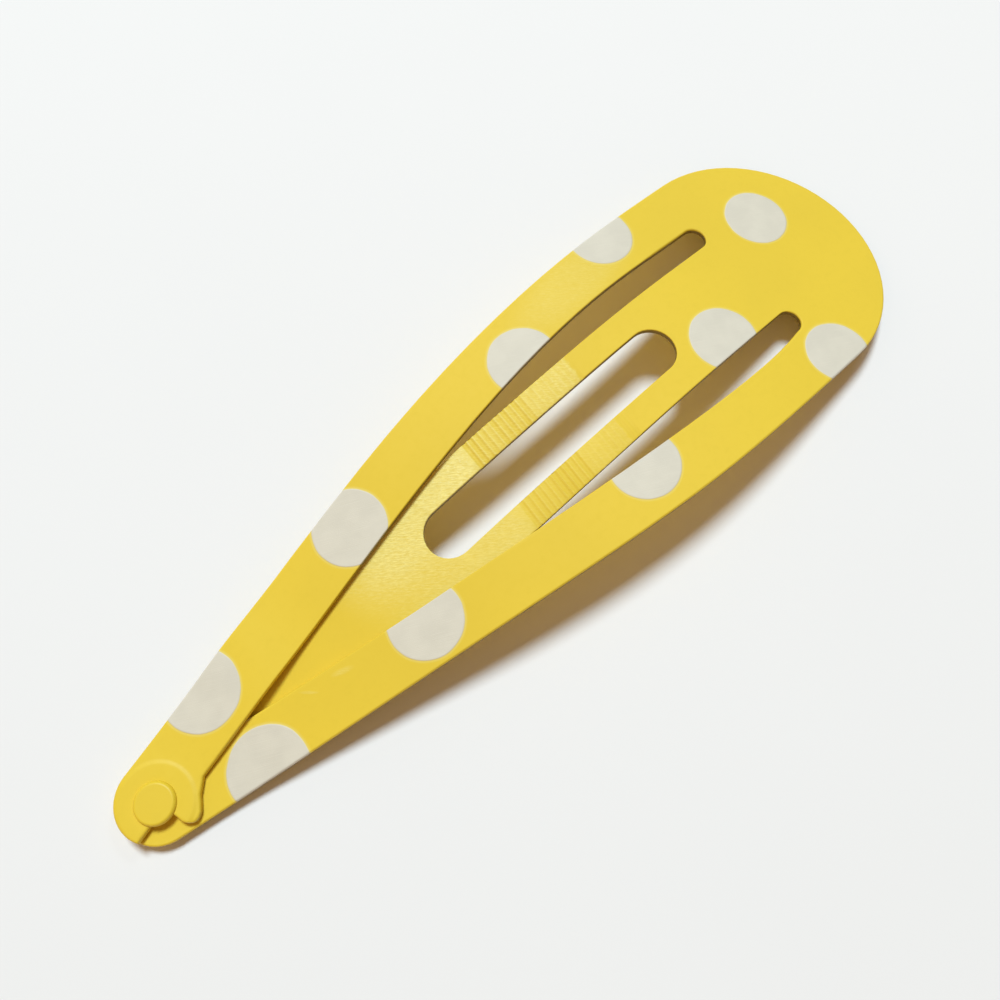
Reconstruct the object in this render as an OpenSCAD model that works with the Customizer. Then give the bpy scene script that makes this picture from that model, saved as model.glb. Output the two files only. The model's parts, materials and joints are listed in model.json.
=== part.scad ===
// Snap hair clip, closed, resting on a flat surface. Millimetres.
// X runs along the clip, round tip at -X and broad end at +X. Z is up, and the surface is z = 0.
// The origin is at the bottom centre. Left is +Y and right is -Y, seen from above with the broad end ahead.

/* [Clip] */
// Overall length, tip to broad end
clip_l = 50; // [40:1:70]
// Width at the broad end, which ends in a half circle
clip_w = 14.5; // [12:0.5:20]
// Radius of the round tip
tip_r = 1.9; // [1.6:0.1:3]
// Thickness of the painted steel sheet
sheet_t = 0.35; // [0.3:0.05:0.6]
// Air between two layers that lie on each other
layer_gap = 0.05; // [0.03:0.01:0.1]

/* [Arch] */
// Slope of the broad end, in degrees
broad_slope = 10.6; // [6:0.2:14]
// Straight run from the broad end to the tongue's root, as a share of the length
root_share = 0.232; // [0.18:0.01:0.28]
// Slope of both arms between the arch and the tip, in degrees
arm_slope = 9; // [7:0.2:12]
// Length over which the left arm rises one sheet, to lie over the right arm where they cross
step_l = 5.6; // [4:0.2:8]
// Radius where each arm levels out towards the tip
heel_r = 25; // [15:1:40]
// Length of the level part at the tip, where the rivet sits
level_l = 3; // [2.6:0.1:5]
// Height of the lower arm's underside above the surface, at the tip
tip_lift = 0.35; // [0.25:0.05:0.6]

/* [Arms] */
// Width of each arm, at the tongue's root
arm_w = 3.1; // [2.4:0.1:4.5]
// Angle of the left outer side to the middle line near the tip, in degrees
left_angle = 13.2; // [9:0.1:15]
// Angle of the right outer side to the middle line near the tip, in degrees
right_angle = 9.9; // [8:0.1:15]
// Angle of the arms' inner edges to the middle line where they cross, in degrees
inner_angle = 12; // [9:0.2:15]
// Distance from the tip to the notch where the left arm's inner edge meets its hook
hook_x = 4.2; // [3.6:0.1:6]
// Distance from the tip to the point where the inner edges cross
cross_x = 7.2; // [6.4:0.1:9]

/* [Tongue] */
// Width of the tongue
tongue_w = 5.65; // [4.6:0.05:7]
// Distance from the rivet's axis to the tongue's hidden round end
end_gap = 5.1; // [4:0.1:8]
// Radius of the hidden end
tongue_end_r = 1.9; // [1.4:0.1:2.6]
// Share of the arch over which the tongue dips under the arms, from its root
dip_share = 0.69; // [0.5:0.01:0.8]
// Width of the long slot in the tongue
slot_w = 2.55; // [1.8:0.05:3.2]
// Length of the long slot
slot_l = 16.5; // [12:0.1:18]
// Distance from the root to the long slot
slot_x = 3.1; // [2:0.1:5]
// How far the narrow side slots run past the root into the broad end
side_slot_x = 3.5; // [2.5:0.1:5]
// Gap at the root, where the tongue turns
root_gap = 0.2; // [0.15:0.05:0.4]

/* [Grip ribs] */
// Number of strong grooves across each leg
rib_count = 11; // [6:1:14]
// Number of faint grooves after them
faint_count = 9; // [0:1:12]
// Spacing of the grooves
rib_pitch = 0.36; // [0.3:0.02:0.5]
// Depth of a strong groove
rib_depth = 0.06; // [0.03:0.01:0.12]
// Radius of a groove's round bottom
rib_r = 0.17; // [0.12:0.01:0.25]
// Distance from the root to the first groove, as a share of the tongue's length
rib_share = 0.475; // [0.4:0.005:0.5]

/* [Rivet] */
// How far the rivet sits towards the right arm, off the middle line
rivet_off = 0.12; // [0:0.02:0.3]
// Radius of the head
head_r = 1; // [0.8:0.05:1.4]
// Height of the head above the upper arm
head_h = 0.22; // [0.15:0.01:0.5]
// Radius of the shank
shank_r = 0.5; // [0.4:0.05:0.8]
// Radius of the formed tail underneath
tail_r = 0.85; // [0.7:0.05:1.2]
// Clearance round the shank and under the head
rivet_gap = 0.03; // [0.02:0.01:0.06]

/* [Hidden] */

xb = clip_l / 2;
root_x = root_share * clip_l;
xr = xb - root_x;
tip_c = [tip_r - xb, 0];
rivet_c = tip_c - [0, rivet_off];
function end_c(side) = side > 0 ? tip_c : rivet_c;
tongue_l = xr - tip_c[0] - end_gap;
w = clip_w / 2;
reach = clip_w + 4;
tw = tongue_w / 2;
inner_w = w - arm_w;

// Unit vectors of a side profile: out of the sheet, and along it towards the tip.
// A slope a is positive where the sheet falls towards the broad end.
function out(a) = [sin(a), cos(a)];
function along(a) = [-cos(a), sin(a)];

// A curve with two handles, from p0 to p3, in n steps.
function curve(p0, p1, p2, p3, n) = [for (i = [0:n]) let(u = i / n, v = 1 - u)
  v * v * v * p0 + 3 * v * v * u * p1 + 3 * v * u * u * p2 + u * u * u * p3];
// An arc from angle a0 to a1, in n steps.
function arc(c, r, a0, a1, n) = [for (i = [0:n]) let(a = a0 + (a1 - a0) * i / n) c + r * [cos(a), sin(a)]];
function back(pts) = [for (i = [len(pts) - 1:-1:0]) pts[i]];
function tail(pts) = [for (i = [1:len(pts) - 1]) pts[i]];
function first(pts, n) = [for (i = [0:n - 1]) pts[i]];

// Outer side of the clip from the broad end to the tip. side is 1 for left and -1 for right.
// The left arm ends on the middle line and the right arm's disc is centred on the rivet.
function side_angle(side) = side > 0 ? left_angle : right_angle;
function outer(side) = let(a = [xb - w, side * w], t = side_angle(side),
  b = end_c(side) + tip_r * [-sin(t), side * cos(t)], s = a[0] - b[0],
  near = side > 0 ? 0.2 : 0.36, far = side > 0 ? 0.56 : 0.69)
  curve(a, a - [near * s, 0], b + far * s * [cos(t), side * sin(t)], b, 20);

// Inner edge of an arm from its side slot's round end to the notch at the hook. It passes the middle
// line at cross_x.
slot_r = (inner_w - tw) / 2;
inner_x = xr + side_slot_x - slot_r;
function inner(side) = let(a = [inner_x, side * inner_w],
  b = [hook_x - xb, side * (hook_x - cross_x) * tan(inner_angle)], s = a[0] - b[0],
  near = side > 0 ? 0.21 : 0.02, far = side > 0 ? 0.74 : 0.85)
  curve(a, a - [near * s, 0], b + far * s * [cos(inner_angle), side * sin(inner_angle)], b, 20);

// Each arm in side view: the broad end's slope, an arch from the root, a straight run, a heel, and level.
lap = sheet_t + layer_gap;
top_b = [xb, sheet_t / cos(broad_slope)];
root = top_b + (root_x / cos(broad_slope)) * along(broad_slope);
function tip_top(side) = tip_lift + sheet_t + (side > 0 ? lap : 0);
function heel_c(side) = [level_l - xb, tip_top(side) + heel_r];
function run_end(side) = heel_c(side) - heel_r * out(-arm_slope);
ridge_x = (top_b[1] + xb * tan(broad_slope) - run_end(-1)[1] + run_end(-1)[0] * tan(arm_slope))
  / (tan(broad_slope) + tan(arm_slope));
arm_r = (xr - ridge_x) / cos(broad_slope) / tan((broad_slope + arm_slope) / 2);
arch_c = root - arm_r * out(broad_slope);

// The left arm rises off the right arm's line in two equal arcs, which end where the arms cross or
// where its heel starts.
step_h = lap * cos(arm_slope);
step_a = 2 * atan(step_h / step_l);
step_r = step_l / 2 / sin(step_a);
step_p2 = run_end(1)
  - (max(0, cross_x - xb - run_end(1)[0]) / cos(arm_slope)) * along(-arm_slope);
step_p0 = step_p2 - step_l * along(-arm_slope) - step_h * out(-arm_slope);
step_c1 = step_p0 + step_r * out(-arm_slope);
step_c2 = step_p2 - step_r * out(-arm_slope);

// The tongue dips by one sheet below the right arm in two arcs, then follows that arm.
dip_h = sheet_t + 1.5 * layer_gap;
dip_l = dip_share * arm_r * (sin(broad_slope) + sin(arm_slope));
dip_k = dip_h / (dip_l * dip_l / 4);
dip_r1 = 1 / (1 / arm_r + dip_k);
dip_r2 = 1 / (1 / arm_r - dip_k);
dip_a1 = asin(sin(broad_slope) - dip_l / 2 / dip_r1);
dip_a2 = asin(sin(dip_a1) - dip_l / 2 / dip_r2);
dip_c1 = root - dip_r1 * out(broad_slope);
dip_p1 = dip_c1 + dip_r1 * out(dip_a1);
dip_c2 = dip_p1 - dip_r2 * out(dip_a1);
dip_p2 = dip_c2 + dip_r2 * out(dip_a2);
low_c = dip_p2 - arm_r * out(dip_a2);
low_end = low_c + arm_r * out(-arm_slope);
function dip_z(x) = x > dip_p1[0] ? dip_c1[1] + sqrt(pow(dip_r1, 2) - pow(x - dip_c1[0], 2))
  : x > dip_p2[0] ? dip_c2[1] + sqrt(pow(dip_r2, 2) - pow(x - dip_c2[0], 2))
  : low_c[1] + sqrt(pow(arm_r, 2) - pow(x - low_c[0], 2));

// Flat shape in the XZ plane, as wide as the clip.
module band(pts) {
  translate([0, reach / 2, 0]) rotate([90, 0, 0]) linear_extrude(height = reach) polygon(pts);
}

// Sheet in side view. Each entry is a point of its top face and the slope there.
module sheet(tops) {
  band(concat([for (p = tops) p[0]], back([for (p = tops) p[0] - sheet_t * out(p[1])])));
}

// Points along a bend, from slope a0 to a1 round centre c. r is negative for a centre above the sheet.
function bend(c, r, a0, a1, n) = [for (i = [0:n]) let(a = a0 + (a1 - a0) * i / n) [c + r * out(a), a]];

// Side view of one arm, from the root to past the tip.
function arm_side(side) = concat(
  bend(arch_c, arm_r, broad_slope, -arm_slope, 24),
  side > 0 ? bend(step_c1, -step_r, -arm_slope, step_a - arm_slope, 8) : [],
  side > 0 ? tail(bend(step_c2, step_r, step_a - arm_slope, -arm_slope, 8)) : [],
  bend(heel_c(side), -heel_r, -arm_slope, 0, 8),
  [[[-xb - 1, tip_top(side)], 0]]);
// Side view of the broad end, from past its edge to the root.
broad_side = [[top_b - 2 * along(broad_slope), broad_slope], [root, broad_slope]];
// Side view of the tongue, from the root to past its hidden end.
tongue_side = concat(bend(dip_c1, dip_r1, broad_slope, dip_a1, 10),
  tail(bend(dip_c2, dip_r2, dip_a1, dip_a2, 6)), tail(bend(low_c, arm_r, dip_a2, -arm_slope, 10)),
  [[low_end + tongue_l * along(-arm_slope), -arm_slope]]);

// Left arm from above. Its end is a hook round the rivet, open towards the lower right.
seam = [for (p = [[-0.447, -0.35], [-0.274, -0.29]]) rivet_c + tip_r * p];
finger = [for (p = [[0.1, -0.39], [0.154, -0.467], [0.185, -0.567], [0.222, -0.752], [0.265, -0.84],
  [0.317, -0.899], [0.385, -0.955], [0.48, -0.98], [0.585, -0.95], [0.68, -0.878], [0.796, -0.72],
  [0.896, -0.562]]) rivet_c + tip_r * p];
module left_plan() {
  polygon(concat(outer(1), arc(tip_c, tip_r, 95 + left_angle, 211, 14), seam,
    arc(rivet_c, 0.39 * tip_r, 235, 280, 4), finger, back(inner(1))));
}

// Right arm from above. Its end is a full disc under the hook.
module right_plan() {
  polygon(concat(outer(-1), arc(rivet_c, tip_r, 265 - right_angle, 50, 24), back(inner(-1))));
}

// Broad end from above, with the ends of the two narrow side slots.
module broad_plan() {
  difference() {
    polygon(concat(arc([xb - w, 0], w, -90, 90, 36), tail(outer(1)), back(tail(outer(-1)))));
    for (s = [-1, 1])
      polygon(concat(arc([inner_x, s * (tw + slot_r)], slot_r, -s * 90, s * 90, 12), first(tail(inner(s)), 8),
        [[inner(s)[8][0], s * tw]]));
    polygon([[xr + root_gap / 2, -tw - 0.1], [xr + root_gap / 2, tw + 0.1], [-xb, tw + 0.1], [-xb, -tw - 0.1]]);
  }
}

module plate(z0, z1) {
  translate([0, 0, z0]) linear_extrude(height = z1 - z0) children();
}

// The whole sheet but the tongue: broad end and both arms.
module frame() {
  color("gold") difference() {
    union() {
      intersection() {
        sheet(broad_side);
        plate(-1, 9) broad_plan();
      }
      intersection() {
        sheet(arm_side(1));
        plate(-1, 9) left_plan();
      }
      intersection() {
        sheet(arm_side(-1));
        plate(-1, 9) right_plan();
      }
    }
    translate([rivet_c[0], rivet_c[1], -1]) cylinder(r = shank_r + rivet_gap, h = 5, $fn = 48);
  }
}

// Tongue from above, with its long slot.
module tongue_plan() {
  c = [xr - tongue_l + tongue_end_r, 0];
  q = [xr - 0.68 * tongue_l, tw];
  d = norm(q - c);
  a = atan2(q[1] - c[1], q[0] - c[0]) + acos(tongue_end_r / d);
  sx = xr - slot_x - slot_w / 2;
  difference() {
    polygon(concat([[xr - root_gap / 2, -tw], [xr - root_gap / 2, tw], q], arc(c, tongue_end_r, a, 360 - a, 20),
      [[q[0], -tw]]));
    polygon(concat(arc([sx, 0], slot_w / 2, -90, 90, 16), arc([sx - slot_l + slot_w, 0], slot_w / 2, 90, 270, 16)));
  }
}

// Grooves pressed across both legs: strong ones first, from the tip side, then faint ones.
module grooves() {
  for (i = [0:rib_count + faint_count - 1]) {
    x = xr - rib_share * tongue_l + i * rib_pitch;
    d = i < rib_count ? rib_depth : rib_depth / 2;
    translate([x, reach / 2, dip_z(x) + rib_r - d]) rotate([90, 0, 0])
      cylinder(r = rib_r, h = reach, $fn = 32);
  }
}

module tongue() {
  color("goldenrod") difference() {
    intersection() {
      sheet(tongue_side);
      plate(-3, 9) tongue_plan();
    }
    grooves();
  }
}

// Rivet: head, shank and formed tail, which stands on the surface.
module rivet() {
  z1 = tip_lift - rivet_gap;
  z2 = tip_top(1) + rivet_gap;
  z3 = z2 + head_h;
  e = 0.3 * head_h;
  f = 0.3 * z1;
  color("khaki") translate([rivet_c[0], rivet_c[1], 0]) rotate_extrude($fn = 64)
    polygon([[0, 0], [tail_r - f, 0], [tail_r, f], [tail_r, z1], [shank_r, z1], [shank_r, z2], [head_r, z2],
      [head_r, z3 - e], [head_r - 0.3 * e, z3 - 0.3 * e], [head_r - e, z3], [0, z3]]);
}

frame();
tongue();
rivet();
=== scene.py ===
import json
import math
from random import Random

import bmesh
import bpy
from bpy.props import FloatProperty, FloatVectorProperty, IntProperty, PointerProperty
from bpy.types import Operator, Panel, PropertyGroup
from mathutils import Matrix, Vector

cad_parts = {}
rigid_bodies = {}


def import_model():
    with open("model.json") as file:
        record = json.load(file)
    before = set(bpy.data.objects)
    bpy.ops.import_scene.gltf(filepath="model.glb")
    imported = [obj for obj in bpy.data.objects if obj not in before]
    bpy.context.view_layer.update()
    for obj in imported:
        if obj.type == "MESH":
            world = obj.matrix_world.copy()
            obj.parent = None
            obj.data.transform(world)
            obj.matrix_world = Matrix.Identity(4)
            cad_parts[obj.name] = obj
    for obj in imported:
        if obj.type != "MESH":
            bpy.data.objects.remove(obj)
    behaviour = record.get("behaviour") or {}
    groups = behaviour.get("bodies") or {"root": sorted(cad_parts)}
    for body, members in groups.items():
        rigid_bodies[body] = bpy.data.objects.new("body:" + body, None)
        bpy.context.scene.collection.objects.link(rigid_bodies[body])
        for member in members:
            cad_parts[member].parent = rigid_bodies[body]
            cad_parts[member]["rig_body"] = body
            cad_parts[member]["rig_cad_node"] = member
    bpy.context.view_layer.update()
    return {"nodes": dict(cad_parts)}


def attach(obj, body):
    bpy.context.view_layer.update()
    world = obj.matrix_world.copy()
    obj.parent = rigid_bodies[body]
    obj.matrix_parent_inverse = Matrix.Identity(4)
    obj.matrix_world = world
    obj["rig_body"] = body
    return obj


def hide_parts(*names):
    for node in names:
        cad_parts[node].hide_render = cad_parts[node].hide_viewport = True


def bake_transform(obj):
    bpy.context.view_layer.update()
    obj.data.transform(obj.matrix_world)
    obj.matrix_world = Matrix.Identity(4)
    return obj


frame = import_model()

bl_info = {
    "name": "Snap Hair Clip",
    "version": (1, 0, 0),
    "blender": (4, 5, 0),
    "location": "3D View > Sidebar > Hair Clip",
    "description": "Painted sheet, tongue, rivet and studio for a packed snap hair clip",
    "category": "Object",
}

# The clip is modelled in millimetres and brought to metres when a piece is finished.
MM = 1000.0
# Where the tongue's root meets the broad end, along X, and half the tongue's width there.
SEAM_X = 13.5
SEAM_HALF = 2.9
# The middle line of the two side slots, as a distance from the clip's middle, and where they end along X.
SLOT_MIDDLE = 3.5
SLOT_END = 17.0
# The tongue's edges are crisper than the arms': this share of the roll.
LEAF_SHARE = 0.45
# The arms' inner edges are crisper too, as far as ENDS_X, where the arms come to lie on each other. An arm's
# middle line lies ARM_MIDDLE from the clip's middle at X 0, and ARM_SPREAD farther out per millimetre of X.
INNER_SHARE = 0.55
ENDS_X = -18
ARM_MIDDLE, ARM_SPREAD = 4.2, 0.123
# The sheet's thickness, and how steeply it stands at the tongue's root.
SHEET = 0.35
ROOT_SLOPE = math.radians(10.6)
# The lowest rib's place along X, the middle line of a leg, and how far each leg's ribs slant.
FIRST_RIB = -1.515
LEG_MIDDLE = 2.05
LEFT_SLANT, RIGHT_SLANT = 0.08, 0.11
# Both legs lie farther than this from the clip's middle.
LEG_INSIDE = 0.5
# The rivet's axis, seen from above.
RIVET_AT = (-23.1, -0.12)
# From PAD_X to the tip, only the upper arm's top side is higher than UPPER_TOP.
PAD_X = -20
UPPER_TOP = 0.87
# Half the width of the soft rim of the pad round the rivet.
PAD_RIM = 0.13
# The printed dots: the middle of each and its radius, seen from above. The last one is on the tongue's root.
DOTS = ((12.05, 6.87, 1.83), (20.36, 2.35, 1.82), (16.85, -6.4, 1.8), (3.64, 3.94, 1.86), (4.19, -4.06, 1.81),
        (-8.34, 3.46, 1.90), (-8.59, -2.39, 1.87), (-18.55, 2.51, 1.98), (-18.42, -2.43, 2.02),
        (12.52, -1.90, 1.865))
# Across the picture from left to right, as an angle about Z: the way that the fine brush lines run.
BRUSHED = math.radians(-42.7)
# Points this near to a line or a level count as on it.
NEAR = 0.01
# Neighbouring faces that turn by less than this are one face.
ONE_FACE = math.radians(0.1)
# A face is level when its normal's Z is over the first of these, and upright when it is under the second.
LEVEL, UPRIGHT = 0.7, 0.3
# The window light's direction from +X towards +Y, its height, and its width in metres.
WINDOW_AZIMUTH, WINDOW_ELEVATION, WINDOW_SIZE = math.radians(18), math.radians(45), 0.12
# The point on the floor that the camera looks at, and the camera's direction, height and distance from there.
CAMERA_AIM = Vector((-0.001489, 0.000125, 0))
CAMERA_AZIMUTH, CAMERA_ELEVATION, CAMERA_DISTANCE = math.radians(-132.67), math.radians(73), 0.041914


# Sizes, colours and studio

class ClipSizes(PropertyGroup):
    """Small sizes of the finish, in metres."""

    edge_roll: FloatProperty(
        name="Edge roll", description="How far the press rolls the sheet's upper edges over", default=0.00012,
        min=0.00001, max=0.0002, precision=6, unit="LENGTH")
    edge_burr: FloatProperty(
        name="Lower edge", description="Rounding of the sheet's lower edges", default=0.00003,
        min=0.00001, max=0.0001, precision=6, unit="LENGTH")
    rib_count: IntProperty(
        name="Strong ribs", description="Strong grip ribs across each leg", default=11, min=0, max=14)
    faint_count: IntProperty(
        name="Faint ribs", description="Faint grip ribs after them", default=9, min=0, max=12)
    rib_pitch: FloatProperty(
        name="Rib spacing", description="Distance from rib to rib", default=0.00036, min=0.0002, max=0.0006,
        precision=6, unit="LENGTH")
    rib_depth: FloatProperty(
        name="Rib depth", description="Depth of the grooves between strong ribs", default=0.00007,
        min=0.0, max=0.00012, precision=6, unit="LENGTH")
    ink_height: FloatProperty(
        name="Ink thickness", description="How far a printed dot stands on the paint", default=0.00002,
        min=0.0, max=0.00005, precision=6, unit="LENGTH")
    pad_radius: FloatProperty(
        name="Pad radius", description="Radius of the pressed pad round the rivet", default=0.00183,
        min=0.0012, max=0.003, precision=6, unit="LENGTH")
    pad_height: FloatProperty(
        name="Pad height", description="How far the pressed pad stands up", default=0.00005,
        min=0.0, max=0.0001, precision=6, unit="LENGTH")


class ClipColours(PropertyGroup):
    """Colours and gloss of the paint, the ink and the steel."""

    paint: FloatVectorProperty(
        name="Paint", description="Colour of the yellow paint", default=(0.75, 0.54, 0.034), size=3,
        min=0.0, max=1.0, subtype="COLOR")
    # Also the colour of the painted highlights in the arms' pale places.
    rubbed: FloatVectorProperty(
        name="Rubbed paint", description="Paint that is rubbed pale by hair and by the press",
        default=(0.785, 0.66, 0.19), size=3, min=0.0, max=1.0, subtype="COLOR")
    ink: FloatVectorProperty(
        name="Dot ink", description="Colour of the printed dots", default=(0.645, 0.608, 0.505), size=3,
        min=0.0, max=1.0, subtype="COLOR")
    # Thin paint, darkened so that it also stands for the shade on the cut walls: painted shade.
    thin: FloatVectorProperty(
        name="Thin paint", description="Paint where it runs thin on the cut edges",
        default=(0.17, 0.11, 0.02), size=3, min=0.0, max=1.0, subtype="COLOR")
    underside: FloatVectorProperty(
        name="Underside", description="Deeper paint on the underside", default=(0.9, 0.58, 0.03), size=3,
        min=0.0, max=1.0, subtype="COLOR")
    steel: FloatVectorProperty(
        name="Bare steel", description="Colour of the steel in the scuffs", default=(0.3, 0.26, 0.21), size=3,
        min=0.0, max=1.0, subtype="COLOR")
    matt: FloatProperty(
        name="Roughness", description="Roughness of the matt paint", default=0.68, min=0.05, max=1.0,
        subtype="FACTOR")


class StudioSet(PropertyGroup):
    """Light, floor and camera."""

    key_azimuth: FloatProperty(
        name="Key azimuth", description="Direction of the key light, from +X towards +Y",
        default=math.radians(61), subtype="ANGLE")
    key_elevation: FloatProperty(
        name="Key elevation", description="Height of the key light", default=math.radians(63),
        subtype="ANGLE")
    key_distance: FloatProperty(
        name="Key distance", description="Distance of the key light and the window light", default=0.85,
        min=0.1, max=5, unit="LENGTH")
    key_size: FloatProperty(
        name="Key size", description="Width of the key light", default=0.25, min=0.01, max=2, unit="LENGTH")
    key_power: FloatProperty(
        name="Key power", description="Power of the key light", default=7.85, min=0, unit="POWER")
    window_power: FloatProperty(
        name="Window power", description="Power of the weak light from the broad end's side", default=0.4,
        min=0, unit="POWER")
    key_colour: FloatVectorProperty(
        name="Key colour", description="Colour of the key light", default=(0.765, 0.9, 0.985), size=3,
        min=0.0, max=1.0, subtype="COLOR")
    fill: FloatVectorProperty(
        name="Fill", description="Colour and strength of the light from all round",
        default=(0.334, 0.221, 0.125), size=3, min=0.0, max=2.0, subtype="COLOR")
    fill_lean: FloatProperty(
        name="Fill lean", description="How much stronger the fill is from the narrow end's side", default=0.9,
        min=0.0, max=1.0, subtype="FACTOR")
    floor: FloatVectorProperty(
        name="Floor", description="Colour of the paper floor", default=(0.8, 0.8, 0.8), size=3,
        min=0.0, max=1.0, subtype="COLOR")
    lens: FloatProperty(
        name="Lens", description="Focal length in millimetres", default=28.8, min=10, max=200, unit="CAMERA")


# Modelling helpers

def pick(obj):
    """Makes an object the only selected one and the active one."""
    if bpy.context.object and bpy.context.object.mode != "OBJECT":
        bpy.ops.object.mode_set(mode="OBJECT")
    bpy.ops.object.select_all(action="DESELECT")
    obj.select_set(True)
    bpy.context.view_layer.objects.active = obj


def select(obj, kind, test):
    """Selects the vertices, edges or faces that pass the test, in edit mode, and says how many."""
    bpy.ops.mesh.select_mode(type=kind)
    bpy.ops.mesh.select_all(action="DESELECT")
    mesh = bmesh.from_edit_mesh(obj.data)
    found = [e for e in {"VERT": mesh.verts, "EDGE": mesh.edges, "FACE": mesh.faces}[kind] if test(e)]
    for e in found:
        e.select_set(True)
    mesh.select_flush_mode()
    bmesh.update_edit_mesh(obj.data)
    return len(found)


def sheet_copy(node, name):
    """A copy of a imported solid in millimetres, with its loose triangles merged into whole faces.

    Points closer than split are one point that was written twice. Edges shorter than sliver are left over
    from the curves, and are closed up.
    """
    split, sliver = 0.0005, 0.018
    pick(frame["nodes"][node])
    bpy.ops.object.duplicate()
    copy = bpy.context.object
    copy.name = copy.data.name = name
    bpy.ops.object.parent_clear(type="CLEAR")
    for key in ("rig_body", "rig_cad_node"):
        del copy[key]
    copy.data.materials.clear()
    bpy.ops.transform.resize(value=(MM, MM, MM))
    bpy.ops.object.transform_apply(location=False, rotation=False, scale=True)
    bpy.ops.object.mode_set(mode="EDIT")
    bpy.ops.mesh.select_all(action="SELECT")
    bpy.ops.mesh.customdata_custom_splitnormals_clear()
    bpy.ops.mesh.mark_sharp(clear=True)
    bpy.ops.mesh.remove_doubles(threshold=split)
    bpy.ops.mesh.dissolve_limited(angle_limit=ONE_FACE)
    bpy.ops.mesh.select_all(action="SELECT")
    bpy.ops.mesh.remove_doubles(threshold=sliver)
    bpy.ops.object.mode_set(mode="OBJECT")
    return copy


def at_seam(e):
    """True for an edge of the face where the tongue's root meets the broad end."""
    return all(abs(v.co.x - SEAM_X) < NEAR and abs(v.co.y) < SEAM_HALF for v in e.verts)


def corner(e, up):
    """True for an edge between a wall and the top, where up is 1, or the underside, where up is -1."""
    if not e.is_manifold:
        return False
    tilts = sorted(f.normal.z * up for f in e.link_faces)
    return tilts[1] > LEVEL and abs(tilts[0]) < UPRIGHT


def modify(obj, kind, **settings):
    """Adds a modifier, sets it and applies it."""
    pick(obj)
    bpy.ops.object.modifier_add(type=kind)
    modifier = obj.modifiers[-1]
    for key, value in settings.items():
        setattr(modifier, key, value)
    bpy.ops.object.modifier_apply(modifier=modifier.name)


def roll_edges(obj, roll, burr, share):
    """Rolls the sheet's upper edges over, as the press does, and breaks its lower ones.

    An upper edge gets the share of the roll that its middle's place has. The attribute cut is 0 on the flat,
    rises to 1 down the roll, runs from 1 to 2 down the cut wall, and is 3 on the underside.
    """
    for up, radius, segments in ((1, roll, 4), (-1, burr, 2)):
        pick(obj)
        bpy.ops.object.mode_set(mode="EDIT")
        mesh = bmesh.from_edit_mesh(obj.data)
        name = "bevel_weight_edge"
        weight = mesh.edges.layers.float.get(name) or mesh.edges.layers.float.new(name)
        for e in mesh.edges:
            middle = (e.verts[0].co + e.verts[1].co) / 2
            e[weight] = (share(middle) if up > 0 else 1.0) if corner(e, up) and not at_seam(e) else 0.0
        bmesh.update_edit_mesh(obj.data)
        modify(obj, "BEVEL", width=radius, segments=segments, limit_method="WEIGHT", profile=0.5,
               use_clamp_overlap=False, loop_slide=True)
    pick(obj)
    bpy.ops.object.mode_set(mode="EDIT")
    bpy.ops.mesh.select_all(action="SELECT")
    bpy.ops.mesh.normals_make_consistent(inside=False)
    mesh = bmesh.from_edit_mesh(obj.data)
    cut = mesh.verts.layers.float.new("cut")
    # The arched top itself leans by up to this much. The walls stand almost upright.
    arch, wall = math.radians(14), 0.15
    seam = {f for f in mesh.faces if all(at_seam(e) for e in f.edges)}
    for v in mesh.verts:
        up = sum((f.normal for f in v.link_faces if f not in seam), Vector()).normalized().z
        if up > 0:
            v[cut] = min(1.0, max(0.0, (math.acos(min(1.0, up)) - arch) / (math.pi / 2 - arch)))
        else:
            v[cut] = 3.0
    for f in mesh.faces:
        if abs(f.normal.z) < wall and f not in seam:
            middle = f.calc_center_median().z
            for v in f.verts:
                v[cut] = 1.0 if v.co.z > middle else 2.0
    bmesh.update_edit_mesh(obj.data)
    bpy.ops.object.mode_set(mode="OBJECT")


def score(obj, test, point, normal):
    """Cuts the faces that pass the test where a plane crosses them."""
    select(obj, "FACE", test)
    bpy.ops.mesh.bisect(plane_co=point, plane_no=normal, threshold=0.00001)


def press(obj, test, depth, share):
    """Moves the vertices that pass the test up by depth times the share that each one's place has."""
    steps = 40
    for level in range(1, steps + 1):
        if select(obj, "VERT", lambda v: test(v) and round(share(v.co) * steps) == level):
            bpy.ops.transform.translate(value=(0, 0, depth * level / steps))


def finished(obj, material, smooth=38):
    """Brings a piece to metres, smooths it, notes where each point lies and gives it its material."""
    pick(obj)
    bpy.ops.transform.resize(value=(1 / MM, 1 / MM, 1 / MM), center_override=(0, 0, 0))
    bpy.ops.object.transform_apply(location=True, rotation=True, scale=True)
    bpy.ops.object.shade_smooth_by_angle(angle=math.radians(smooth), keep_sharp_edges=True)
    modify(obj, "WEIGHTED_NORMAL", mode="FACE_AREA", weight=50, keep_sharp=True)
    place = obj.data.attributes.new("place", "FLOAT_VECTOR", "POINT")
    place.data.foreach_set("vector", [c * MM for v in obj.data.vertices for c in v.co])
    obj.data.materials.clear()
    obj.data.materials.append(material)


# Materials

class Value:
    """A number or colour that comes out of a node, for sums written as plain expressions."""

    def __init__(self, mat, socket):
        self.mat, self.socket = mat, socket

    def _sum(self, kind, a, b):
        return self.mat.node("ShaderNodeMath", {"operation": kind}, {0: a, 1: b})

    def __add__(self, other):
        return self._sum("ADD", self, other)

    def __sub__(self, other):
        return self._sum("SUBTRACT", self, other)

    def __rsub__(self, other):
        return self._sum("SUBTRACT", other, self)

    def __mul__(self, other):
        return self._sum("MULTIPLY", self, other)

    def larger(self, other):
        return self._sum("MAXIMUM", self, other)

    __radd__, __rmul__ = __add__, __mul__


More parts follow.
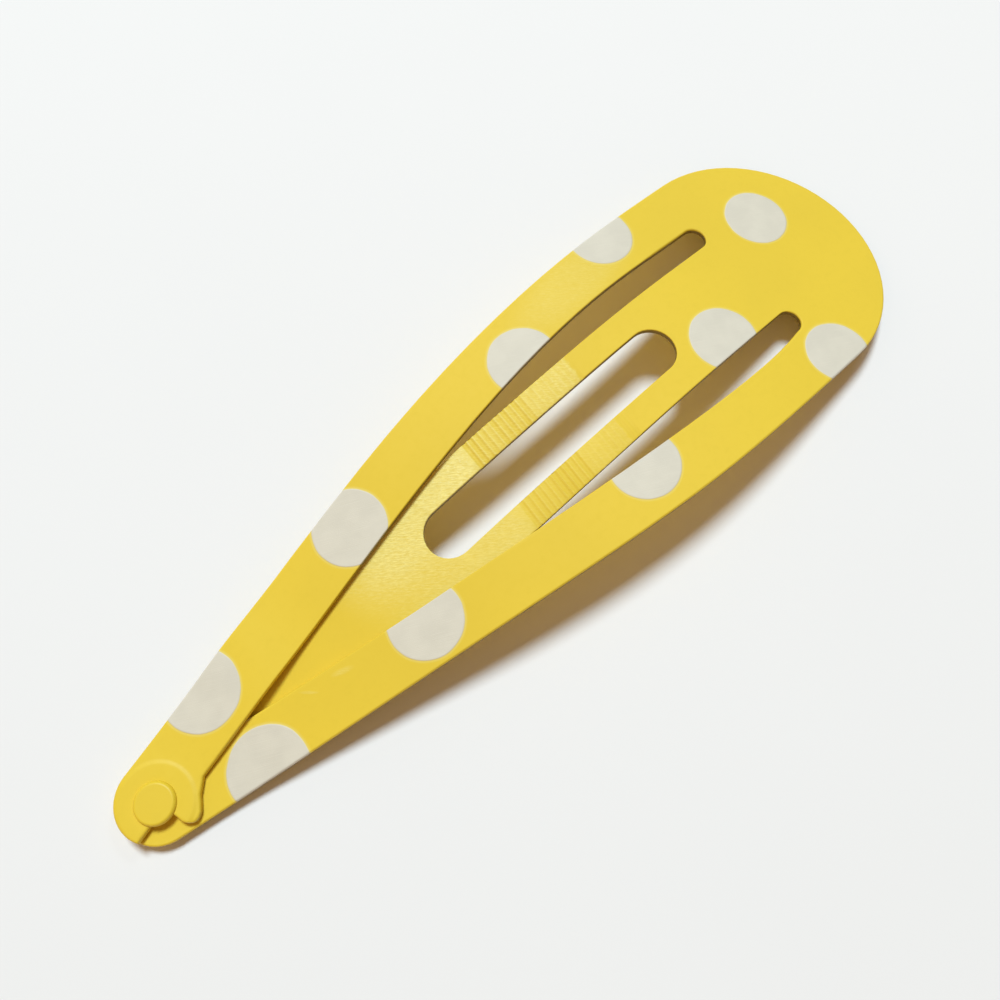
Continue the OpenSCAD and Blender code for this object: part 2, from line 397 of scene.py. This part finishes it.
class Finish:
    """A material with one Principled shader, and the nodes that feed it."""

    def __init__(self, name, own_place=False, **constants):
        self.material = bpy.data.materials.new(name)
        self.material.use_nodes = True
        self.tree = self.material.node_tree
        self.tree.nodes.clear()
        self.shader = self.tree.nodes.new("ShaderNodeBsdfPrincipled")
        out = self.tree.nodes.new("ShaderNodeOutputMaterial")
        self.tree.links.new(self.shader.outputs[0], out.inputs["Surface"])
        for key, value in constants.items():
            self.shader.inputs[key.replace("_", " ")].default_value = value
        # A piece with its own place attribute reads the place that its points had when it was finished. The
        # others read Object coordinates.
        self.place = self.attribute("place", "Vector") if own_place else self.node(
            "ShaderNodeVectorMath", {"operation": "SCALE"},
            {0: self.node("ShaderNodeTexCoord", out="Object"), "Scale": MM})
        self.x, self.y = (self.node("ShaderNodeSeparateXYZ", {}, {0: self.place}, out=k) for k in "XY")
        self.flat = self.node("ShaderNodeCombineXYZ", {}, {"X": self.x, "Y": self.y})

    def node(self, kind, settings=None, sockets=None, out=0):
        """Adds a node, sets its settings first and its sockets after, and gives one output as a Value."""
        made = self.tree.nodes.new(kind)
        for key, value in (settings or {}).items():
            setattr(made, key, value)
        for key, value in (sockets or {}).items():
            if isinstance(value, Value):
                self.tree.links.new(value.socket, made.inputs[key])
            else:
                made.inputs[key].default_value = value
        return Value(self, made.outputs[out])

    def attribute(self, name, out="Fac"):
        """A number or, with Vector as its output, a place that the mesh's points carry."""
        return self.node("ShaderNodeAttribute", {"attribute_name": name}, out=out)

    def noise(self, scale, detail=2.0, rough=0.5, at=None, warp=0.0):
        """Noise between 0 and 1, scale to the millimetre."""
        return self.node("ShaderNodeTexNoise", {"noise_dimensions": "3D"},
                         {"Vector": at or self.place, "Scale": scale, "Detail": detail, "Roughness": rough,
                          "Distortion": warp})

    def turned(self, angle, long, wide, at=(0.0, 0.0)):
        """Places measured from a point, along and across a direction, in units of long and wide."""
        return self.node("ShaderNodeMapping", {"vector_type": "TEXTURE"},
                         {"Vector": self.flat, "Location": (*at, 0), "Rotation": (0, 0, angle),
                          "Scale": (long, wide, 1)})

    def spot(self, at, long, wide, angle):
        """1 in the middle of an oval place on the sheet, 0 at its edge and outside it."""
        far = self.node("ShaderNodeVectorMath", {"operation": "LENGTH"},
                        {0: self.turned(angle, long, wide, at)}, out="Value")
        return 1.0 - self.step(far, 0.3, 1.0)

    def inside(self, x, y, radius):
        """How far a point lies inside a circle, in millimetres."""
        return radius - self.node("ShaderNodeVectorMath", {"operation": "DISTANCE"},
                                  {0: self.flat, 1: (x, y, 0)}, out="Value")

    def step(self, value, low, high):
        """0 below low, 1 above high and smooth between."""
        return self.node("ShaderNodeMapRange", {"interpolation_type": "SMOOTHSTEP"},
                         {"Value": value, "From Min": low, "From Max": high, "To Min": 0.0, "To Max": 1.0})

    def mix(self, factor, a, b):
        """Colour a to colour b by factor."""
        rgba = [c if isinstance(c, Value) else (*c, 1.0) for c in (a, b)]
        return self.node("ShaderNodeMix", {"data_type": "RGBA", "blend_type": "MIX", "clamp_factor": True},
                         {0: factor, 6: rgba[0], 7: rgba[1]}, out=2)

    def feed(self, socket, value):
        """Leads a value into the shader."""
        self.tree.links.new(value.socket, self.shader.inputs[socket])

    def bump(self, height):
        """Bump from a height in millimetres."""
        self.feed("Normal", self.node("ShaderNodeBump", {},
                                      {"Strength": 1.0, "Distance": 1 / MM, "Height": height}))


def scaled(colour, k):
    """A colour k times as bright."""
    return tuple(min(1.0, c * k) for c in colour)


def tongue_wear_and_sheen(f):
    """Where the tongue is rubbed pale: sharply from the ribs' upper end, and less towards the narrow end.
    Along the right arm's edge it is also a painted highlight.
    """
    ragged = (f.noise(2.4, 3.0) - 0.5) * 0.4
    below = 1.0 - f.step(f.x - f.y * 0.12 + ragged, 4.95, 5.15)
    left = f.step(f.y, -1.2, 0.9)
    # The left leg is the paler one. Past the slot's end the rubbing fades out under the arms.
    low = 1.0 - f.step(f.x, -2.6, -1.2)
    legs = 0.24 + 0.38 * left + low * (0.2 + 0.12 * left)
    fade = f.step(f.x + f.y * 0.25, -11.4, -7.2)
    # The crests of the ribs are rubbed, the grooves are not. A bright line follows the right arm's edge:
    # rubbed paint with a painted highlight of the arm's rolled edge.
    crest = 1.0 - 0.6 * f.attribute("groove")
    line = f.spot((-4.2, -2.15), 3.4, 0.5, -0.28) * 0.45
    return below * (legs * crest).larger(line) * fade


def sheet_wear_and_sheen(f):
    """Where the arms are paler: a long place on the left one, rubbed and with a painted highlight, two rubbed
    smears, and an edge on the right one, rubbed and with a painted highlight of its rolled edge.
    """
    # The long place and the edge are partly painted highlights, laid on as pale paint.
    pale_patch_and_sheen = f.spot((8.9, 5.7), 5.6, 2.1, math.radians(6)) * 0.25
    smear = f.spot((-13.0, -1.45), 0.7, 0.2, BRUSHED + 0.4)
    smear = smear.larger(f.spot((-14.8, -1.1), 0.6, 0.1, BRUSHED)) * 0.25
    edge = f.spot((-7.5, -1.3), 7.0, 0.42, -0.28) * 0.35
    return pale_patch_and_sheen.larger(smear).larger(edge)


def paint(name, dots=(), wear_and_sheen=None, own_place=False, pad=False, shine=0.0):
    """Matt yellow paint on sheet steel, with its printed dots, rubbed places and scuffed edges, painted
    highlights in some pale places, and painted shade on the cut walls and in the ribs' grooves.
    """
    c, sizes = bpy.context.scene.clip_colours, bpy.context.scene.clip_sizes
    f = Finish(name, own_place, IOR=1.5, Specular_IOR_Level=0.4)
    cut = f.attribute("cut")
    fleck = f.noise(2.6, 4.0, 0.6)
    peel = f.noise(4.5, 2.0)
    fine = f.noise(20.0, 2.0)
    brush = f.noise(1.0, 4.0, 0.6, f.turned(BRUSHED, 1.1, 0.07), 0.35)
    scratch = f.noise(1.0, 3.0, 0.55, f.turned(BRUSHED + 0.25, 1.6, 0.035), 0.2)
    glint = f.noise(1.0, 3.0, 0.6, f.turned(BRUSHED + 0.1, 0.3, 0.06), 0.4)
    colour = f.mix(f.step(f.noise(0.14, 2.0), 0.3, 0.7), scaled(c.paint, 0.975), scaled(c.paint, 1.02))
    colour = f.mix(f.step(fleck, 0.45, 0.75) * 0.3, colour, scaled(c.paint, 0.94))
    height = peel * 0.0016 + fine * 0.0005
    rough = c.matt - shine + (fleck - 0.5) * 0.08
    if wear_and_sheen:
        speck = f.step(f.noise(9.0, 3.0, 0.6), 0.5, 0.7)
        # The rubbed places carry painted highlights too, on the left arm and along the right arm's edge.
        rub_and_sheen = wear_and_sheen(f)
        colour = f.mix(rub_and_sheen * (0.62 + 0.38 * f.step(brush, 0.36, 0.62) + 0.3 * speck), colour, tuple(c.rubbed))
        # The grooves between the ribs are painted darker: painted shade in the recesses, along with the
        # deeper paint that lies there.
        colour = f.mix(f.attribute("groove") * 0.8, colour, scaled(c.paint, 0.92))
        colour = f.mix(rub_and_sheen * f.step(glint, 0.46, 0.66) * 0.65, colour, scaled(c.rubbed, 1.18))
        colour = f.mix(rub_and_sheen * (1.0 - f.step(glint, 0.34, 0.5)) * 0.45, colour, scaled(c.paint, 0.92))
        rough = rough - rub_and_sheen * (0.12 + speck * 0.2)
        height = height + rub_and_sheen * (brush * 0.013 + scratch * 0.006 + glint * 0.01)
    if dots:
        deep = f.inside(*dots[0])
        for dot in dots[1:]:
            deep = deep.larger(f.inside(*dot))
        deep = deep + (f.noise(0.7, 3.0) - 0.5) * 0.12
        tone = f.mix(f.step(f.noise(0.8, 3.0), 0.3, 0.7), scaled(c.ink, 0.97), scaled(c.ink, 1.03))
        tone = f.mix(f.step(scratch, 0.5, 0.75) * 0.4, tone, scaled(c.ink, 1.12))
        # The ink is thin at its rim, and a pale line of bare ground shows round it.
        colour = f.mix(f.step(deep, -0.16, -0.03) * 0.45, colour, tuple(c.rubbed))
        ink = f.step(deep, -0.03, 0.03)
        colour = f.mix(ink, colour, tone)
        rough = rough + ink * (-0.06 + (scratch - 0.5) * 0.1)
        height = height + f.step(deep, -0.04, 0.06) * sizes.ink_height * MM + ink * scratch * 0.007
    if pad:
        # The paint is smoother on the soft rim of the pad.
        deep = f.inside(*RIVET_AT, sizes.pad_radius * MM)
        rough = rough - f.step(deep, -0.2, -0.04) * (1.0 - f.step(deep, 0.0, 0.2)) * 0.14
    # The paint is rubbed smooth on the rolled edge and runs thin on the cut wall, whose torn lower half is
    # rough.
    # The cut wall's colour is also darkened to stand for the shade on it: painted shade. Where the wall meets
    # the roll it is scuffed to the steel in a few places.
    under = f.step(cut, 2.2, 2.7)
    wall = f.step(cut, 0.86, 0.96) * (1.0 - under)
    roll = f.step(cut, 0.02, 0.2) * (1.0 - f.step(cut, 0.86, 0.96))
    torn = f.step(cut + (f.noise(9.0, 3.0) - 0.5) * 0.3, 1.35, 1.5)
    scuff = f.step(cut, 0.7, 0.9) * f.step(f.noise(1.3, 4.0, 0.65), 0.62, 0.68) * (1.0 - under)
    # The arms' inner walls keep their plain paint near the narrow end, where they nearly meet: the painted
    # shade of the walls is left off there.
    wall_shade_reach = f.step(f.x, -14.5, -7.0).larger(1.0 - f.step(f.y, -2.4, -1.6))
    colour = f.mix(wall * wall_shade_reach * (0.8 + torn * 0.1), colour, tuple(c.thin))
    colour = f.mix(under, colour, tuple(c.underside))
    colour = f.mix(scuff * 0.8, colour, tuple(c.steel))
    f.feed("Base Color", colour)
    f.feed("Metallic", scuff * 0.8)
    f.feed("Roughness", rough - roll * 0.14 - scuff * 0.2)
    f.bump(height + wall * torn * f.noise(24.0, 3.0) * 0.008)
    return f.material


def paper(name, colour):
    """Matt white paper for the floor."""
    f = Finish(name, IOR=1.4, Specular_IOR_Level=0.2)
    tone = f.noise(0.05, 2.0)
    f.feed("Base Color", f.mix(tone, scaled(colour, 0.99), scaled(colour, 1.01)))
    f.feed("Roughness", 0.9 - f.noise(3.0, 3.0) * 0.1)
    return f.material


# The pieces

class HAIRCLIP_OT_sheet(Operator):
    """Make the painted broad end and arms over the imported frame"""

    bl_idname = "hairclip.sheet"
    bl_label = "Painted Sheet"

    def execute(self, context):
        sizes = context.scene.clip_sizes
        skin = sheet_copy("frame", "painted_sheet")

        def share(at):
            """The roll is narrow on the arms' inner edges and the slots' inner corners by the tongue."""
            side = abs(at.y)
            if SEAM_X < at.x < SLOT_END and side < SLOT_MIDDLE:
                out = max(0.0, (side - SEAM_HALF) / (SLOT_MIDDLE - SEAM_HALF))
                return LEAF_SHARE + (1 - LEAF_SHARE) * out
            inner = ENDS_X < at.x < SEAM_X and side < ARM_MIDDLE + ARM_SPREAD * at.x
            return INNER_SHARE if inner else 1.0

        roll_edges(skin, sizes.edge_roll * MM, sizes.edge_burr * MM, share)
        self.pad(skin, sizes)
        finished(skin, paint("sheet_paint", DOTS, sheet_wear_and_sheen, pad=True))
        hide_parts("frame")
        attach(skin, "clip")
        return {"FINISHED"}

    def pad(self, skin, sizes):
        """Presses up a round pad about the rivet: the upper arm's end is cut in rings and raised."""
        radius, rim, sectors, rings = sizes.pad_radius * MM, PAD_RIM, 48, 4
        half = math.pi / sectors
        axis = Vector((*RIVET_AT, 0))

        def far(co):
            return math.hypot(co.x - axis.x, co.y - axis.y)

        def upper(co):
            return co.z > UPPER_TOP and far(co) < radius + 1

        def rise(co):
            t = min(1.0, max(0.0, (radius + rim - far(co)) / (2 * rim)))
            return t * t * (3 - 2 * t)

        def crossed(f, out, ring):
            """True for a top face of one sector that a line across the sector cuts."""
            way = [(v.co - axis).dot(out) for v in f.verts]
            return ((f.calc_center_median() - axis).xy.angle(out.xy) < half and
                    any(upper(v.co) for v in f.verts) and min(way) < ring < max(way))

        pick(skin)
        bpy.ops.object.mode_set(mode="EDIT")
        for i in range(sectors // 2):
            a = math.tau * i / sectors
            score(skin, lambda f: any(upper(v.co) for v in f.verts) and f.calc_center_median().x < PAD_X,
                  axis, (-math.sin(a), math.cos(a), 0))
        for i in range(sectors):
            a = math.tau * (i + 0.5) / sectors
            out = Vector((math.cos(a), math.sin(a), 0))
            for k in range(-rings, rings + 1):
                ring = (radius + rim * k / rings) * math.cos(half)
                score(skin, lambda f: crossed(f, out, ring), axis + out * ring, out)
        press(skin, lambda v: upper(v.co), sizes.pad_height * MM, rise)
        bpy.ops.object.mode_set(mode="OBJECT")


class HAIRCLIP_OT_leaf(Operator):
    """Make the painted tongue with its pressed ribs"""

    bl_idname = "hairclip.leaf"
    bl_label = "Painted Tongue"

    def execute(self, context):
        sizes = context.scene.clip_sizes
        skin = sheet_copy("tongue", "painted_tongue")
        seam_z = min(v.co.z for v in frame["nodes"]["frame"].data.vertices
                     if abs(v.co.x * MM - SEAM_X) < NEAR and abs(v.co.y * MM) < SEAM_HALF) * MM
        bpy.ops.object.mode_set(mode="EDIT")
        # Only the plain underside is kept. The sheet's thickness is drawn up from it, without the grooves.
        select(skin, "FACE", lambda f: f.normal.z > -0.9)
        bpy.ops.mesh.delete(type="FACE")
        bpy.ops.mesh.select_all(action="SELECT")
        bpy.ops.mesh.dissolve_limited(angle_limit=ONE_FACE)
        mesh = bmesh.from_edit_mesh(skin.data)
        root = max(mesh.verts, key=lambda v: v.co.x).co.copy()
        # The root edge is drawn out to the broad end.
        select(skin, "EDGE", lambda e: all(v.co.x > root.x - NEAR for v in e.verts))
        bpy.ops.mesh.extrude_region_move(
            TRANSFORM_OT_translate={"value": (SEAM_X - root.x, 0, seam_z - root.z)})
        bpy.ops.mesh.select_all(action="SELECT")
        bpy.ops.mesh.extrude_region_move(
            TRANSFORM_OT_translate={"value": (0, 0, SHEET / math.cos(ROOT_SLOPE))})
        bpy.ops.mesh.select_all(action="SELECT")
        bpy.ops.mesh.normals_make_consistent(inside=False)
        bpy.ops.object.mode_set(mode="OBJECT")
        roll_edges(skin, sizes.edge_roll * MM, sizes.edge_burr * MM, lambda at: LEAF_SHARE)
        for side in (1, -1):
            self.ribs(skin, sizes, side)
        finished(skin, paint("tongue_paint", DOTS[-1:], tongue_wear_and_sheen, own_place=True))
        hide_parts("tongue")
        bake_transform(skin)
        return {"FINISHED"}

    def ribs(self, skin, sizes, side):
        """Presses the ribs into one leg: it is cut across some times to each rib, and grooves are lowered."""
        pitch, depth, cuts = sizes.rib_pitch * MM, sizes.rib_depth * MM, 8
        count = sizes.rib_count + sizes.faint_count
        first = FIRST_RIB - 0.5 * pitch
        middle, skew = LEG_MIDDLE * side, LEFT_SLANT if side > 0 else RIGHT_SLANT
        # No two grooves are pressed to quite the same depth.
        random = Random(5 + side)
        uneven = [random.uniform(0.6, 1.0) for _ in range(count)]

        def along(co):
            return co.x - first - skew * (co.y - middle)

        def on_leg(co):
            return co.y * side > LEG_INSIDE

        def drop(co):
            """How deep a groove is there: the ribs stay as narrow crests between wide grooves."""
            at = along(co) / pitch
            if not 0 < at < count:
                return 0.0
            crest = (1 + math.cos(math.tau * at)) / 2
            return (1 - crest ** 1.8) * (1.0 if at < sizes.rib_count else 0.4) * uneven[int(at)]

        pick(skin)
        bpy.ops.object.mode_set(mode="EDIT")
        length = math.hypot(1, skew)
        for i in range(count * cuts + 1):
            x = i / cuts * pitch
            score(skin, lambda f: on_leg(f.calc_center_median()) and
                  min(along(v.co) for v in f.verts) < x < max(along(v.co) for v in f.verts),
                  (first + x, middle, 0), (1 / length, -skew / length, 0))
        mesh = bmesh.from_edit_mesh(skin.data)
        groove = mesh.verts.layers.float.get("groove") or mesh.verts.layers.float.new("groove")
        for v in mesh.verts:
            if on_leg(v.co):
                v[groove] = drop(v.co)
        bmesh.update_edit_mesh(skin.data)
        # The grooves run out over the upper part of the rolled edge.
        press(skin, lambda v: on_leg(v.co) and v.normal.z > 0.55, -depth, drop)
        bpy.ops.object.mode_set(mode="OBJECT")


class HAIRCLIP_OT_rivet(Operator):
    """Make the painted rivet with its flat button head and soft rim"""

    bl_idname = "hairclip.rivet"
    bl_label = "Rivet"

    def execute(self, context):
        skin = sheet_copy("rivet", "painted_rivet")
        # The reach of the head's plain slope, its new roll's steps and width, and the lower edges' rounding.
        slope, steps, roll, burr = 0.15, 8, 0.17, 0.02
        top = max(v.co.z for v in skin.data.vertices)
        bpy.ops.object.mode_set(mode="EDIT")
        # The head's top and its plain slope come off, and a soft roll is drawn up from the rim in steps.
        select(skin, "FACE", lambda f: f.calc_center_median().z > top - slope)
        bpy.ops.mesh.delete(type="FACE")
        select(skin, "EDGE", lambda e: e.is_boundary)
        mesh = bmesh.from_edit_mesh(skin.data)
        at = next(v.co for v in mesh.verts if v.select)
        radius, low = math.hypot(at.x - RIVET_AT[0], at.y - RIVET_AT[1]), at.z
        for i in range(steps):
            a, b = (math.radians(90) * k / steps for k in (i, i + 1))
            bpy.ops.mesh.extrude_edges_move(TRANSFORM_OT_translate={
                "value": (0, 0, (top - low) * (math.sin(b) - math.sin(a)))})
            near, far = (radius - roll * (1 - math.cos(k)) for k in (a, b))
            bpy.ops.transform.resize(value=(far / near, far / near, 1), center_override=(*RIVET_AT, 0))
        bpy.ops.mesh.edge_face_add()
        # Every lower edge is broken a little.
        select(skin, "EDGE", lambda e: e.is_manifold and e.calc_face_angle() > math.radians(40) and
               min(v.co.z for v in e.verts) < low - NEAR)
        bpy.ops.mesh.bevel(offset_type="OFFSET", offset=burr, segments=2, profile=0.5, affect="EDGES",
                           clamp_overlap=False, loop_slide=True)
        bpy.ops.mesh.select_all(action="SELECT")
        bpy.ops.mesh.normals_make_consistent(inside=False)
        bpy.ops.object.mode_set(mode="OBJECT")
        finished(skin, paint("rivet_paint", shine=0.2), smooth=50)
        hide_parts("rivet")
        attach(skin, "clip")
        return {"FINISHED"}


# The studio

def direction(azimuth, elevation):
    """The way towards a light or the camera, with the azimuth from +X towards +Y."""
    return Vector((math.cos(azimuth) * math.cos(elevation), math.sin(azimuth) * math.cos(elevation),
                   math.sin(elevation)))


def lamp(towards, distance, size, power):
    """Adds a round light that shines on the clip."""
    bpy.ops.object.light_add(type="AREA", location=towards * distance)
    light = bpy.context.object
    light.rotation_euler = towards.to_track_quat("Z", "Y").to_euler()
    light.data.shape, light.data.size, light.data.energy = "DISK", size, power
    return light.data


class HAIRCLIP_OT_studio(Operator):
    """Set up the paper floor, the lights and the camera"""

    bl_idname = "hairclip.studio"
    bl_label = "Studio"

    def execute(self, context):
        s = context.scene.clip_studio
        bpy.ops.object.select_all(action="DESELECT")
        bpy.ops.mesh.primitive_plane_add(size=3, location=(0, 0, -0.00001))
        floor = context.object
        floor.name = "paper_floor"
        floor.data.materials.append(paper("paper", s.floor))
        key = lamp(direction(s.key_azimuth, s.key_elevation), s.key_distance, s.key_size, s.key_power)
        key.color = s.key_colour
        # A weak window light picks out the edges that face the broad end.
        lamp(direction(WINDOW_AZIMUTH, WINDOW_ELEVATION), s.key_distance, WINDOW_SIZE, s.window_power)
        world = bpy.data.worlds.new("studio_fill")
        world.use_nodes = True
        shade = world.node_tree.nodes["Background"]
        shade.inputs["Color"].default_value = (*s.fill, 1)
        # The fill comes more from the side of the clip's narrow end.
        nodes, links = world.node_tree.nodes, world.node_tree.links
        way, split = nodes.new("ShaderNodeTexCoord"), nodes.new("ShaderNodeSeparateXYZ")
        lean = nodes.new("ShaderNodeMath")
        lean.operation = "MULTIPLY_ADD"
        lean.inputs[1].default_value, lean.inputs[2].default_value = -s.fill_lean, 1.0
        links.new(way.outputs["Generated"], split.inputs[0])
        links.new(split.outputs["X"], lean.inputs[0])
        links.new(lean.outputs[0], shade.inputs["Strength"])
        context.scene.world = world
        context.scene.view_settings.view_transform = "Standard"
        context.scene.view_settings.look = "None"
        # The camera looks down at the clip from the side of its narrow end.
        back = direction(CAMERA_AZIMUTH, CAMERA_ELEVATION)
        bpy.ops.object.camera_add(location=CAMERA_AIM + back * CAMERA_DISTANCE)
        camera = context.object
        camera.rotation_euler = (-back).to_track_quat("-Z", "Y").to_euler()
        camera.data.sensor_width, camera.data.lens = 36.0, s.lens
        camera.data.clip_start, camera.data.clip_end = 0.001, 10.0
        context.scene.camera = camera
        return {"FINISHED"}


class HAIRCLIP_PT_panel(Panel):
    """Sizes, colours and steps of the snap hair clip"""

    bl_label = "Snap Hair Clip"
    bl_idname = "HAIRCLIP_PT_panel"
    bl_space_type = "VIEW_3D"
    bl_region_type = "UI"
    bl_category = "Hair Clip"

    def draw(self, context):
        for title, group in (("Sizes", "clip_sizes"), ("Colours", "clip_colours"), ("Studio", "clip_studio")):
            box = self.layout.box()
            box.label(text=title)
            settings = getattr(context.scene, group)
            for key in settings.bl_rna.properties.keys():
                if key not in ("rna_type", "name"):
                    box.prop(settings, key)
        for step in STEPS:
            self.layout.operator(step.bl_idname)


STEPS = (HAIRCLIP_OT_sheet, HAIRCLIP_OT_leaf, HAIRCLIP_OT_rivet, HAIRCLIP_OT_studio)
CLASSES = (ClipSizes, ClipColours, StudioSet, *STEPS, HAIRCLIP_PT_panel)


def register():
    for cls in CLASSES:
        bpy.utils.register_class(cls)
    bpy.types.Scene.clip_sizes = PointerProperty(type=ClipSizes)
    bpy.types.Scene.clip_colours = PointerProperty(type=ClipColours)
    bpy.types.Scene.clip_studio = PointerProperty(type=StudioSet)


def unregister():
    for name in ("clip_sizes", "clip_colours", "clip_studio"):
        delattr(bpy.types.Scene, name)
    for cls in reversed(CLASSES):
        bpy.utils.unregister_class(cls)


def main():
    register()
    bpy.ops.hairclip.sheet()
    bpy.ops.hairclip.leaf()
    bpy.ops.hairclip.rivet()
    bpy.ops.hairclip.studio()


if __name__ == "__main__":
    main()
